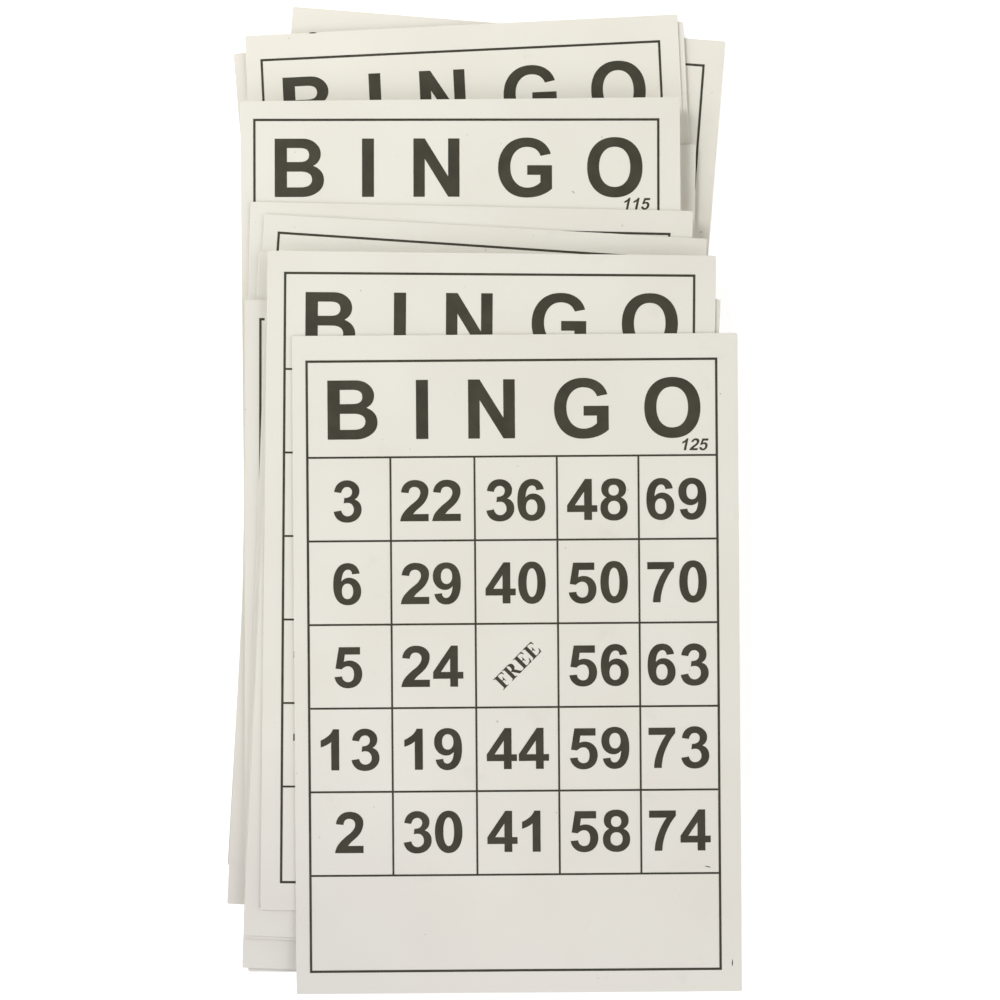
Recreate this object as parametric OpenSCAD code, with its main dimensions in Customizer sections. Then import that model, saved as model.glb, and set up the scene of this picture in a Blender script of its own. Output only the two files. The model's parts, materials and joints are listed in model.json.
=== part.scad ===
// A loose, fanned pile of printed bingo cards that lies flat on a table.
// Millimetres. +Z is up and +Y points to the heads of the cards.
// Card 1 lies on the table and the last card is the one on top.

/* [Card stock] */
// Width of one card
card_w = 102; // [94:0.5:120]
// Length of one card
card_h = 150; // [140:0.5:175]
// Thickness of the card stock
stock_t = 0.28; // [0.25:0.01:0.8]
// Radius of a card's corners
corner_r = 0.4; // [0.3:0.1:3]

/* [Printed grid] */
// Thickness of the ink on the face
ink_t = 0.02; // [0.01:0.005:0.04]
// Card's left edge to the printed frame
margin_left = 3.5; // [2:0.1:5]
// Card's right edge to the printed frame
margin_right = 4.8; // [3:0.1:5]
// Card's head to the printed frame
margin_top = 4.9; // [3:0.1:8]
// Card's foot to the printed frame
margin_foot = 5.8; // [3:0.1:8]
// Height of the box that holds the heading
head_h = 22.15; // [20:0.05:24]
// Height of the empty box below the numbers
foot_h = 22.05; // [14:0.05:24]
// Width of the outer frame's line
frame_line = 0.55; // [0.3:0.05:1]
// Width of the lines between the boxes
grid_line = 0.45; // [0.2:0.05:0.8]

/* [Lettering] */
// Height of the heading's letters
letter_h = 13.45; // [9:0.05:15]
// How far the heading sits below the middle of its box
heading_drop = 0.25; // [0:0.05:1]
// Height of the numbers in the boxes
number_h = 9.35; // [6:0.05:10]
// How far the numbers sit below the middle of their boxes
number_drop = 0.05; // [0:0.05:1.5]
// How much less the numbers' rows are apart than their boxes
row_close = 0.18; // [0:0.02:0.6]
// Height of the word in the middle box
free_h = 3.3; // [2:0.1:4]
// Turn of the word in the middle box, in degrees
free_turn = 45; // [0:5:60]
// Height of the small card number under the heading
tally_h = 2.7; // [1.5:0.1:3.4]
// Gap between the small card number and the frame's right line
tally_inset = 1.8; // [1:0.1:4]
// Gap between the heading's foot and the small card number
tally_gap = 0.3; // [0.2:0.05:0.5]
// Straight pieces that each curve of a letter is drawn with
curve_steps = 2; // [2:1:5]

/* [Pile] */
// Air between one card's ink and the card on top of it
lay_gap = 0.02; // [0.01:0.01:0.2]
// How far the cards are fanned out, as a share of the full spread
fan_share = 1; // [0:0.05:1.2]

/* [Hidden] */
// Where each card lies, from the table up: its middle across and along, as shares of the
// card's width and length, and its turn in degrees. Then how large it was trimmed across and
// along, as shares, and how far its print slipped across and along, as shares, and its turn.
lie_shares = [
    [-0.0378, 0.2478, -4.6, 1, 1, 0.0074, -0.0079, 0.29],
    [-0.0551, 0.2281, 4.7, 1, 1, 0, 0, 0],
    [-0.0409, 0.2315, 2.9, 1, 1, 0, 0, 0],
    [-0.0523, 0.2451, 2.89, 0.994, 0.994, -0.0004, -0.0088, -0.15],
    [-0.0632, 0.0598, -0.98, 1, 1, 0, 0, 0],
    [-0.0875, 0.062, 0.15, 0.98, 0.985, 0, 0, 0],
    [-0.081, 0.078, 0.55, 0.98, 0.985, 0, 0, 0],
    [-0.086, 0.09, 0.3, 0.98, 0.985, 0, 0, 0],
    [-0.083, 0.07, 0.2, 0.98, 0.985, 0, 0, 0],
    [-0.0865, 0.1, 0.45, 0.98, 0.985, 0, 0, 0],
    [-0.082, 0.085, 0.3, 0.98, 0.985, 0, 0, 0],
    [-0.0855, 0.108, 0.5, 0.98, 0.985, 0, 0, 0],
    [-0.084, 0.095, 0.25, 0.98, 0.985, 0, 0, 0],
    [-0.0865, 0.11, 0.4, 0.98, 0.985, 0, 0, 0],
    [-0.0838, 0.1164, 0.55, 0.9945, 1, -0.0076, 0.0029, -0.47],
    [-0.0793, -0.0489, -1.2, 1, 1, -0.0029, -0.0018, 0],
    [-0.0738, -0.0796, -3.23, 1, 1, -0.0085, 0.0038, -0.57],
    [-0.0791, -0.1357, -2.82, 1, 1, 0.007, 0, 0],
    [-0.0664, -0.2215, 0, 1, 1, 0, 0, 0],
    [-0.0728, -0.1942, 0, 1, 1, -0.0029, 0.0043, -0.07],
    [-0.0531, -0.2255, -2, 1, 1, 0, 0.0073, 0],
    [-0.0428, -0.1809, -2.4, 1.003, 1.003, 0, 0.0053, 0],
    [-0.0402, -0.1784, -2.67, 1, 1, 0, 0.0053, 0],
    [-0.0265, -0.1258, -0.64, 1.0015, 1.0015, 0.0052, 0.003, 0.25],
    [0.0379, -0.2481, 0.4, 0.9937, 0.9984, -0.0012, -0.0054, 0.03]
];
// Width of each column of boxes, as a share of the frame
column_shares = [0.2045, 0.204, 0.2, 0.198, 0.1935];
// Middle of each column of numbers, as a share of the frame
number_shares = [0.1, 0.303, 0.5095, 0.709, 0.9005];
// Middle of each letter of the heading, as a share of the frame
letter_shares = [0.1135, 0.2825, 0.451, 0.669, 0.89];
// Numbers on the top card, column by column; the middle box holds the word instead
top_numbers = [
    ["3", "6", "5", "13", "2"],
    ["22", "29", "24", "19", "30"],
    ["36", "40", "", "44", "41"],
    ["48", "50", "56", "59", "58"],
    ["69", "70", "63", "73", "74"]
];
// Number of the lowest card; the others count up from it
first_tally = 101;
// Lean of the small card number
tally_lean_share = 0.22;

// Width that each digit takes up, as a share of its height
digit_pitch_share = 0.78;
// Outlines of letters and digits, in hundredths of their height. A point with a third value
// is the control point of a curve, and curves that follow each other meet halfway. An outline
// of four numbers is a round loop, given by its left, right, foot and head.
percent = 0.01;
// Control points of a round loop, as shares of its half width and half height
loop_share = 0.46;
loop_shares = [
    [1, loop_share, 1], [loop_share, 1, 1], [-loop_share, 1, 1], [-1, loop_share, 1],
    [-1, -loop_share, 1], [-loop_share, -1, 1], [loop_share, -1, 1], [1, -loop_share, 1]
];
// Outline of the 6 and of its hole, and the corner that they are turned about to make a 9
six_shares = [
    [67, 75.5], [65, 87.5, 1], [57, 94.5], [49.5, 101, 1], [38.5, 101], [22, 101, 1],
    [12.5, 88], [2.5, 74.5, 1], [2.5, 48.5], [2.5, 22.5, 1], [12.5, 10], [22, -1.5, 1],
    [38, -1.5], [52, -1.5, 1], [61.5, 8], [70.5, 17.5, 1], [70.5, 32], [70.5, 46.5, 1],
    [62, 56], [53, 65.5, 1], [41, 65.5], [30, 65.5, 1], [22.5, 56.5], [23.5, 71.5, 1],
    [28, 78.5], [32.5, 85, 1], [38.5, 85], [43, 85, 1], [45.5, 82], [48.5, 79, 1], [48.5, 73.5]
];
six_hole_shares = [23.5, 51, 13.5, 51];
nine_corner_shares = [73, 99.5];
digit_shares = [
    [[3, 70, -1.5, 101.5], [23.5, 49.5, 15.5, 85]],
    [[[53, 0], [53, 100], [38, 100], [34, 89, 1], [24, 82], [16, 76, 1], [8, 73], [8, 56],
      [23, 60, 1], [33.5, 69], [33.5, 0]]],
    [[[2, 0], [71.5, 0], [71.5, 17.5], [34, 17.5], [38, 23.5, 1], [47, 31], [56, 38.5, 1],
      [61, 44.5], [71.5, 58, 1], [71.5, 74], [71.5, 84.5, 1], [62.5, 92.5], [53.5, 100.5, 1],
      [37.5, 100.5], [24.5, 100.5, 1], [15.5, 92.5], [6.5, 85, 1], [4.5, 70.5], [23, 68.5],
      [24, 76, 1], [27, 79.5], [30.5, 83.5, 1], [37, 83.5], [43.5, 83.5, 1], [47.5, 79.5],
      [51.5, 76, 1], [51.5, 69], [51.5, 62, 1], [45, 54], [41, 49, 1], [30, 41], [17, 30, 1],
      [9.5, 20], [3.5, 11, 1]]],
    [[[5, 24.5], [7, 12, 1], [15.5, 5], [24, -2, 1], [37.5, -2], [53, -2, 1], [63, 7],
      [73, 16.5, 1], [73, 29.5], [73, 39.5, 1], [68, 46], [63.5, 52, 1], [56, 54],
      [68, 60.5, 1], [68, 75], [68, 85, 1], [60, 92.5], [51, 101, 1], [37.5, 101],
      [26, 101, 1], [17.5, 94], [8.5, 87, 1], [6.5, 72.5], [23.5, 70], [25, 77, 1], [29, 81],
      [32.5, 84.5, 1], [38, 84.5], [43.5, 84.5, 1], [46.5, 81], [50, 78, 1], [50, 72.5],
      [50, 66, 1], [45.5, 62], [41, 58, 1], [31, 58], [29.5, 44.5], [34, 46, 1], [38.5, 46],
      [46, 46, 1], [50, 41], [54, 36, 1], [54, 29], [54, 22, 1], [49.5, 18], [45, 13.5, 1],
      [38.5, 13.5], [32.5, 13.5, 1], [28.5, 17.5], [24.5, 21.5, 1], [23.5, 27.5]]],
    [[[43, 0], [62, 0], [62, 19.5], [75, 19.5], [75, 36], [62, 36], [62, 100], [45.5, 100],
      [1.5, 36], [1.5, 19.5], [43, 19.5]],
     [[43, 36], [43, 69], [20.5, 36]]],
    [[[4, 25.5], [6, 13, 1], [15, 5.5], [23.5, -2, 1], [37, -2], [54.5, -2, 1], [64.5, 10.5],
      [71.5, 20, 1], [71.5, 33], [71.5, 47.5, 1], [62.5, 56.5], [53.5, 65.5, 1], [40.5, 65.5],
      [33.5, 65.5, 1], [27, 62.5], [29.5, 80], [66.5, 80], [66.5, 98], [15, 98], [6.5, 46],
      [21.5, 44], [28.5, 51.5, 1], [37, 51.5], [43.5, 51.5, 1], [47.5, 46.5], [51.5, 41.5, 1],
      [51.5, 32.5], [51.5, 22.5, 1], [47.5, 17.5], [43.5, 13, 1], [37, 13], [31.5, 13, 1],
      [27, 17], [23, 20.5, 1], [22.5, 27]]],
    [six_shares, six_hole_shares],
    [[[3.5, 80.5], [3.5, 98], [68.5, 98], [68.5, 84.5], [58, 73.5, 1], [48.5, 53.5],
      [36, 28, 1], [35, 0], [16.5, 0], [17, 22, 1], [26.5, 44.5], [34.5, 65, 1], [46, 80.5]]],
    [[[19.5, 54.5], [7, 60.5, 1], [7, 75], [7, 86, 1], [14.5, 93.5], [22.5, 101, 1],
      [37.5, 101], [52, 101, 1], [60, 93.5], [67.5, 86, 1], [67.5, 75], [67.5, 60.5, 1],
      [55, 54.5], [71, 47.5, 1], [71, 29.5], [71, 15.5, 1], [62, 7], [53, -2, 1], [38, -2],
      [23.5, -2, 1], [13.5, 6], [4.5, 14.5, 1], [4.5, 29], [4.5, 47, 1]],
     [24.5, 49.5, 59, 85],
     [23, 52.5, 13.5, 46]],
    [half_turn(six_shares, nine_corner_shares), half_turn(six_hole_shares, nine_corner_shares)]
];
// The heading's letters, each with its width and its outlines
heading_shares = [
    [84.5, [[[0, 0], [47, 0], [61.5, 0, 1], [72, 7], [84.5, 15, 1], [84.5, 29], [84.5, 46.5, 1],
      [66, 53.5], [79, 60, 1], [79, 74], [79, 84, 1], [71, 91.5], [62, 100, 1], [48, 100],
      [0, 100]],
     [[21, 60], [42, 60], [51, 60, 1], [55, 63], [59, 66, 1], [59, 72], [59, 78, 1], [55, 81],
      [51, 84, 1], [42, 84], [21, 84]],
     [[21, 16.5], [44, 16.5], [54, 16.5, 1], [59, 20], [64, 23.5, 1], [64, 30], [64, 36.5, 1],
      [59, 40], [54, 43.5, 1], [44, 43.5], [21, 43.5]]]],
    [20.5, [[[0, 0], [20.5, 0], [20.5, 100], [0, 100]]]],
    [79, [[[0, 0], [19.5, 0], [19.5, 65], [59.5, 0], [79, 0], [79, 100], [59.5, 100],
      [59.5, 35], [19.5, 100], [0, 100]]]],
    [92.5, [[[92.5, 54], [50, 54], [50, 37.5], [72.5, 37.5], [72.5, 24.5], [63, 15.5, 1],
      [50, 15.5], [37.5, 15.5, 1], [29, 25.5], [21, 35.5, 1], [21, 51], [21, 66.5, 1],
      [29, 76], [37, 85.5, 1], [49.5, 85.5], [67.5, 85.5, 1], [73, 70], [90.5, 73.5],
      [87, 86.5, 1], [76, 94], [65.5, 101.5, 1], [49.5, 101.5], [26.5, 101.5, 1],
      [13, 86.5], [0, 72, 1], [0, 49.5], [0, 28, 1], [13, 13], [26, -1.5, 1], [49, -1.5],
      [75.5, -1.5, 1], [92.5, 13.5]]]],
    [95, [[0, 95, -1.5, 102], [20.5, 74, 16.5, 85.5]]]
];
// The four letters of the word in the middle box, which have feet, in the same way
foot_e_shares = [[3, 0], [88, 0], [93, 30], [89, 30], [79, 12], [62, 5], [46, 5], [42, 9],
    [42, 48], [50, 48], [57, 44], [60, 33], [63, 33], [63, 70], [60, 70], [57, 58], [50, 53],
    [42, 53], [42, 95], [62, 95], [76, 90], [83, 74], [87, 74], [85, 100], [3, 100], [3, 96],
    [14, 94], [17, 90], [17, 10], [14, 6], [3, 4]];
foot_f_shares = [[3, 0], [56, 0], [56, 4], [45, 6], [42, 10], [42, 48], [50, 48], [57, 44],
    [60, 33], [63, 33], [63, 70], [60, 70], [57, 58], [50, 53], [42, 53], [42, 95], [62, 95],
    [74, 90], [80, 74], [84, 74], [83, 100], [3, 100], [3, 96], [14, 94], [17, 90], [17, 10],
    [14, 6], [3, 4]];
foot_r_shares = [[3, 0], [55, 0], [55, 4], [45, 6], [42, 10], [42, 47], [47, 47], [78, 0],
    [106, 0], [106, 4], [98, 7], [93, 12], [70, 48], [88, 54, 1], [88, 74], [88, 100, 1],
    [52, 100], [3, 100], [3, 96], [14, 94], [17, 90], [17, 10], [14, 6], [3, 4]];
foot_r_hole_shares = [[42, 53], [46, 53], [61, 54, 1], [61, 75], [61, 95, 1], [48, 95], [42, 95]];
free_shares = [
    [86, [foot_f_shares]],
    [106, [foot_r_shares, foot_r_hole_shares]],
    [97, [foot_e_shares]],
    [94, [foot_e_shares]]
];
// Segments in the quarter circle of a card's corner
corner_steps = 4;

card_count = len(lie_shares);
columns = len(column_shares);
rows = len(top_numbers[0]);
card_pitch = stock_t + ink_t + lay_gap;
frame_w = card_w - margin_left - margin_right;
frame_h = card_h - margin_top - margin_foot;
frame_x = (margin_left - margin_right) / 2;
frame_y = (margin_foot - margin_top) / 2;
box_h = (frame_h - head_h - foot_h) / rows;
heading_y = frame_h - head_h / 2 - heading_drop - letter_h / 2;
free_column = floor(columns / 2);
free_row = floor(rows / 2);
card_names = [for (i = [1 : card_count]) str("card_", i < 10 ? "0" : "", i)];
print_names = [for (i = [1 : card_count]) str("print_", i < 10 ? "0" : "", i)];

// Sum of the first n entries of a list
function first(list, n) = n == 0 ? 0 : first(list, n - 1) + list[n - 1];

// The points of a round loop inside its box, and of any outline
function loop(box) = [for (s = loop_shares)
    [(box[0] + box[1] + s[0] * (box[1] - box[0])) / 2,
     (box[2] + box[3] + s[1] * (box[3] - box[2])) / 2, 1]];
function points_of(outline) = is_num(outline[0]) ? loop(outline) : outline;

// An outline turned half round inside a box from the origin
function half_turn(outline, corner) = [for (p = points_of(outline))
    is_corner(p) ? corner - p : [corner[0] - p[0], corner[1] - p[1], 1]];

// An outline with its control points replaced by the points of the curves
function flat(p) = [p[0], p[1]];
function is_corner(p) = len(p) == 2;
function along(a, c, b, t) = a * (1 - t) * (1 - t) + 2 * c * t * (1 - t) + b * t * t;
function drawn(outline) = let (q = points_of(outline), n = len(q)) [for (i = [0 : n - 1])
    let (p = q[i], before = q[(i + n - 1) % n], after = q[(i + 1) % n])
    each is_corner(p) ? [p] : let (
        a = is_corner(before) ? before : (flat(before) + flat(p)) / 2,
        b = is_corner(after) ? after : (flat(p) + flat(after)) / 2,
        last = is_corner(after) ? curve_steps - 1 : curve_steps)
        [for (k = [1 : last]) along(a, flat(p), b, k / curve_steps)]];

// The digits of a number that is written as text
function digits(written) = [for (c = written) ord(c) - ord("0")];

// Outline of a card of the given size, round at its corners
function card_outline(w, h) = [for (corner = [0 : 3], k = [0 : corner_steps]) let (
    across = corner == 0 || corner == 3 ? 1 : -1,
    up = corner < 2 ? 1 : -1,
    turn = 90 * (corner + k / corner_steps))
    [across * (w / 2 - corner_r), up * (h / 2 - corner_r)] + corner_r * [cos(turn), sin(turn)]];
function turned(p, turn) = [p[0] * cos(turn) - p[1] * sin(turn), p[0] * sin(turn) + p[1] * cos(turn)];
function lie_x(i) = fan_share * lie_shares[i][0] * card_w;
function lie_y(i) = fan_share * lie_shares[i][1] * card_h;
function lie_turn(i) = fan_share * lie_shares[i][2];

// Outline of a card as it was trimmed, with its middle at the origin
function trimmed(i) = card_outline(card_w * lie_shares[i][3], card_h * lie_shares[i][4]);

// Middle of the whole pile's outline, which is moved to the origin
pile_points = [for (i = [0 : card_count - 1], p = trimmed(i))
    turned(p, lie_turn(i)) + [lie_x(i), lie_y(i)]];
pile_x = [for (p = pile_points) p[0]];
pile_y = [for (p = pile_points) p[1]];
middle_x = (min(pile_x) + max(pile_x)) / 2;
middle_y = (min(pile_y) + max(pile_y)) / 2;

// Puts its children where a card lies in the pile
module lay(i) {
    translate([lie_x(i) - middle_x, lie_y(i) - middle_y, i * card_pitch])
        rotate(lie_turn(i))
            children();
}

// Puts its children, drawn from the frame's lower left corner, on a card's face as printed
module slip(i) {
    translate([frame_x + lie_shares[i][5] * card_w, frame_y + lie_shares[i][6] * card_h, stock_t])
        rotate(lie_shares[i][7])
            translate([-frame_w / 2, -frame_h / 2])
                children();
}

// One letter or digit of the given height, from its outlines
module letter(outlines, h, lean = 0) {
    loops = [for (o = outlines) drawn(o)];
    sizes = [for (l = loops) len(l)];
    points = [for (l = loops) each [for (p = l) [p[0] + lean * p[1], p[1]] * h * percent]];
    paths = [for (i = [0 : len(loops) - 1]) [for (k = [0 : sizes[i] - 1]) first(sizes, i) + k]];
    polygon(points, paths);
}

// A number that is written as text, centred on the origin and standing on it
module number(written, h, lean = 0) {
    row = digits(written);
    for (i = [0 : len(row) - 1])
        translate([(i - len(row) / 2) * digit_pitch_share * h, 0])
            letter(digit_shares[row[i]], h, lean);
}

// The frame, the heading's box, the boxes of the numbers and the empty box at the foot
module grid() {
    top = frame_h - head_h;
    difference() {
        square([frame_w, frame_h]);
        translate([frame_line, top + grid_line / 2])
            square([frame_w - 2 * frame_line, head_h - frame_line - grid_line / 2]);
        translate([frame_line, frame_line])
            square([frame_w - 2 * frame_line, foot_h - frame_line - grid_line / 2]);
        for (column = [0 : columns - 1], row = [0 : rows - 1]) {
            left = column == 0 ? frame_line : frame_w * first(column_shares, column) + grid_line / 2;
            right = column == columns - 1
                ? frame_w - frame_line : frame_w * first(column_shares, column + 1) - grid_line / 2;
            translate([left, foot_h + row * box_h + grid_line / 2])
                square([right - left, box_h - grid_line]);
        }
    }
}

// The heading's five letters
module heading() {
    for (i = [0 : len(heading_shares) - 1]) {
        width = heading_shares[i][0] * letter_h * percent;
        translate([frame_w * letter_shares[i] - width / 2, heading_y])
            letter(heading_shares[i][1], letter_h);
    }
}

// The word in the middle box
module free_word() {
    widths = [for (f = free_shares) f[0]];
    unit = free_h * percent;
    rotate(free_turn)
        translate([-first(widths, len(widths)) * unit / 2, -free_h / 2])
            for (i = [0 : len(widths) - 1])
                translate([first(widths, i) * unit, 0])
                    letter(free_shares[i][1], free_h);
}

// The numbers of the top card, and the word
module numbers() {
    for (column = [0 : columns - 1], row = [0 : rows - 1]) {
        x = frame_w * number_shares[column];
        y = foot_h + rows * box_h / 2 + (free_row - row) * (box_h - row_close);
        if (column == free_column && row == free_row)
            translate([x, y]) free_word();
        else
            translate([x, y - number_drop - number_h / 2])
                number(top_numbers[column][row], number_h);
    }
}

// The card's own small number, which leans, at the right under the heading
module tally(i) {
    written = str(first_tally + i);
    width = len(written) * digit_pitch_share * tally_h;
    lean = tally_lean_share * tally_h;
    translate([frame_w - tally_inset - width / 2 - lean, heading_y - tally_gap - tally_h])
        number(written, tally_h, tally_lean_share);
}

// One sheet of card stock
module card(i) {
    color([0.91, 0.90, 0.86])
        lay(i)
            linear_extrude(stock_t)
                polygon(trimmed(i));
}

// The ink on one card's face. Only the top card has its numbers here, to keep the files small.
module print(i) {
    color([0.27, 0.26, 0.21])
        lay(i)
            slip(i)
                linear_extrude(ink_t) {
                    grid();
                    heading();
                    tally(i);
                    if (i == card_count - 1) numbers();
                }
}

for (i = [0 : card_count - 1]) {
    card(i);
    print(i);
}
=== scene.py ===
# Dresses the loose pile of bingo cards: bent card stock, smooth print and soft light.
import json
import math

import bmesh
import bpy
from mathutils import Matrix, Vector
from mathutils.geometry import tessellate_polygon

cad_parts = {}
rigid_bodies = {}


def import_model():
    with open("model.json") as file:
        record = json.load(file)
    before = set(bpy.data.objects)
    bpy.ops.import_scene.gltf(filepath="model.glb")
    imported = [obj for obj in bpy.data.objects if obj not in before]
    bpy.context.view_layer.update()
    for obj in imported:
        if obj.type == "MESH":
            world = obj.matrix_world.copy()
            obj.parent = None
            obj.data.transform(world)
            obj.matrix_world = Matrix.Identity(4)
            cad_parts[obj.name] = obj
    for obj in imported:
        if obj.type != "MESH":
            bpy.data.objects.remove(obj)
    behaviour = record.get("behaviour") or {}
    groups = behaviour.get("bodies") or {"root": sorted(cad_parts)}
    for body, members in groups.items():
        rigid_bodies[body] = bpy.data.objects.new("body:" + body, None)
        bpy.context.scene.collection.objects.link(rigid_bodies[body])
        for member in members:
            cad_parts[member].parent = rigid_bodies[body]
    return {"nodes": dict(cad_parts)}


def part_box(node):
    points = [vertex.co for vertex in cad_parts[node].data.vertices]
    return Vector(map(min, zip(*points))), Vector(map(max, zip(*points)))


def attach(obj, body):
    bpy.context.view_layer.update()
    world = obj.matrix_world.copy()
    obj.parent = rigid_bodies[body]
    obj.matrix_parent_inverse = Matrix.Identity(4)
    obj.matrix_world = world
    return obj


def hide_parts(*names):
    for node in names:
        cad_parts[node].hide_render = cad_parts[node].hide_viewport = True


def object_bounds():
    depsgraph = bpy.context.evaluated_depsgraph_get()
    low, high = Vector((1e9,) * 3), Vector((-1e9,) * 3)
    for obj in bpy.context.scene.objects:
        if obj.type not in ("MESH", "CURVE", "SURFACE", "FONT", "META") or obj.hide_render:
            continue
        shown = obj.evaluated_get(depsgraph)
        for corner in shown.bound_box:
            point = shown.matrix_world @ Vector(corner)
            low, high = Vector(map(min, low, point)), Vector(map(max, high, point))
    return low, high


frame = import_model()
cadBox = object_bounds()
mm = 0.001
scene = bpy.context.scene
cardCount = sum(name.startswith("card_") for name in frame["nodes"])
print("frame loaded:", cardCount, "cards")


# A node with its inputs set or linked, by name or number
def addNode(tree, kind, inputs=None, **settings):
    node = tree.nodes.new(kind)
    for name, value in settings.items():
        setattr(node, name, value)
    for name, value in (inputs or {}).items():
        if isinstance(value, bpy.types.NodeSocket):
            tree.links.new(value, node.inputs[name])
        else:
            node.inputs[name].default_value = value
    return node


def maths(tree, operation, a, b=0.0, c=0.0):
    inputs = {0: a, 1: b}
    if operation in ("MULTIPLY_ADD", "COMPARE"):
        inputs[2] = c
    return addNode(tree, "ShaderNodeMath", inputs, operation=operation).outputs[0]


# A new geometry tree with named inputs, its input sockets by name, and its output socket
def newTree(name, inputs):
    tree = bpy.data.node_groups.new(name, "GeometryNodeTree")
    tree.interface.new_socket(name="Geometry", in_out="OUTPUT", socket_type="NodeSocketGeometry")
    for label, kind in inputs.items():
        tree.interface.new_socket(name=label, in_out="INPUT", socket_type="NodeSocket" + kind)
    given = tree.nodes.new("NodeGroupInput").outputs
    made = tree.nodes.new("NodeGroupOutput").inputs[0]
    return tree, given, made


# Runs a tree on a mesh and returns its result as a plain mesh object at the origin
def runTree(name, tree, values, base=None, rim=None):
    maker = bpy.data.objects.new(name + "_maker", base or bpy.data.meshes.new(name))
    scene.collection.objects.link(maker)
    modifier = maker.modifiers.new("shape", "NODES")
    modifier.node_group = tree
    for item in tree.interface.items_tree:
        if item.in_out == "INPUT" and item.name in values:
            modifier[item.identifier] = values[item.name]
    if rim:
        bevel = maker.modifiers.new("rim", "BEVEL")
        bevel.width = rim["round"] * mm
        bevel.segments = rim["steps"]
        bevel.limit_method = "ANGLE"
        bevel.angle_limit = math.radians(rim["sharpAngle"])
    graph = bpy.context.evaluated_depsgraph_get()
    mesh = bpy.data.meshes.new_from_object(maker.evaluated_get(graph), depsgraph=graph)
    bpy.data.objects.remove(maker)
    mesh.name = name
    piece = bpy.data.objects.new(name, mesh)
    scene.collection.objects.link(piece)
    return piece


# The linear colour of a colour written as on a screen, from 0 to 255
def screen(colour):
    def linear(v):
        v /= 255
        return v / 12.92 if v <= 0.04045 else ((v + 0.055) / 1.055) ** 2.4
    return (*map(linear, colour), 1)


def newMaterial(name, roughness, gloss):
    material = bpy.data.materials.new(name)
    material.use_nodes = True
    tree = material.node_tree
    tree.nodes.clear()
    shader = addNode(tree, "ShaderNodeBsdfPrincipled",
                     {"Roughness": roughness, "Specular IOR Level": gloss})
    addNode(tree, "ShaderNodeOutputMaterial", {"Surface": shader.outputs[0]})
    place = addNode(tree, "ShaderNodeTexCoord").outputs["Object"]
    seed = addNode(tree, "ShaderNodeAttribute", attribute_name="cardSeed").outputs["Fac"]
    return material, tree, shader, place, seed


seedStep = 3.7  # from one card's seed to the next


# Noise of one size in millimetres, different on each card
def noise(tree, place, seed, size, detail=3.0, roughness=0.5):
    return addNode(tree, "ShaderNodeTexNoise", {
        "Vector": place, "W": seed, "Scale": 1 / (size * mm), "Detail": detail,
        "Roughness": roughness}, noise_dimensions="4D").outputs["Fac"]


def stretched(tree, value, low, high, toLow=0.0, toHigh=1.0):
    return addNode(tree, "ShaderNodeMapRange", {
        "Value": value, "From Min": low, "From Max": high, "To Min": toLow,
        "To Max": toHigh}).outputs["Result"]


def mixed(tree, share, a, b):
    node = addNode(tree, "ShaderNodeMix", {0: share, 6: a, 7: b}, data_type="RGBA")
    return node.outputs[2]


# Fine relief from a pattern, its depth in millimetres
def addRelief(tree, shader, pattern, depth, strength=1.0):
    bump = addNode(tree, "ShaderNodeBump", {
        "Height": pattern, "Strength": strength, "Distance": depth * mm})
    tree.links.new(bump.outputs[0], shader.inputs["Normal"])


# Card stock: off-white, faintly clouded, with a fine fibre grain and a few grey flecks. The
# cards further down the pile are painted a little lighter, painted light that makes up for the
# light the pile keeps from them, and the pile's lower left corner is painted a little greyer,
# painted shade where the light falls off.
stock = {
    "face": (236, 233, 222), "cloud": (233, 229, 217),
    # painted light: the lighter tones of the cards further down the pile
    "rearFacePaintedLight": (243, 239, 227), "rearCloudPaintedLight": (240, 236, 223), "firstFront": 19,
    "cloudSize": 26, "cloudRange": (0.35, 0.65),
    # painted shade: a greyer tone towards the pile's lower left corner
    "paintedShade": (205, 201, 196), "paintedShadeShare": 0.27, "paintedShadeInset": (5.37, 3.215, 4), "paintedShadeRange": (20, 56),
    "smudge": (205, 201, 190), "smudgeSize": 14, "smudgeRange": (0.62, 0.8), "smudgeShare": 0.35,
    "fleck": (150, 143, 128), "fleckSize": 1.1, "fleckRange": (0.78, 0.82), "fleckShare": 0.5,
    "grainSize": 0.5, "grainRange": (0.3, 0.7), "grainDepth": 0.012,
    "roughness": 0.78, "roughRange": (0.7, 0.88), "gloss": 0.25,
}


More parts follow.
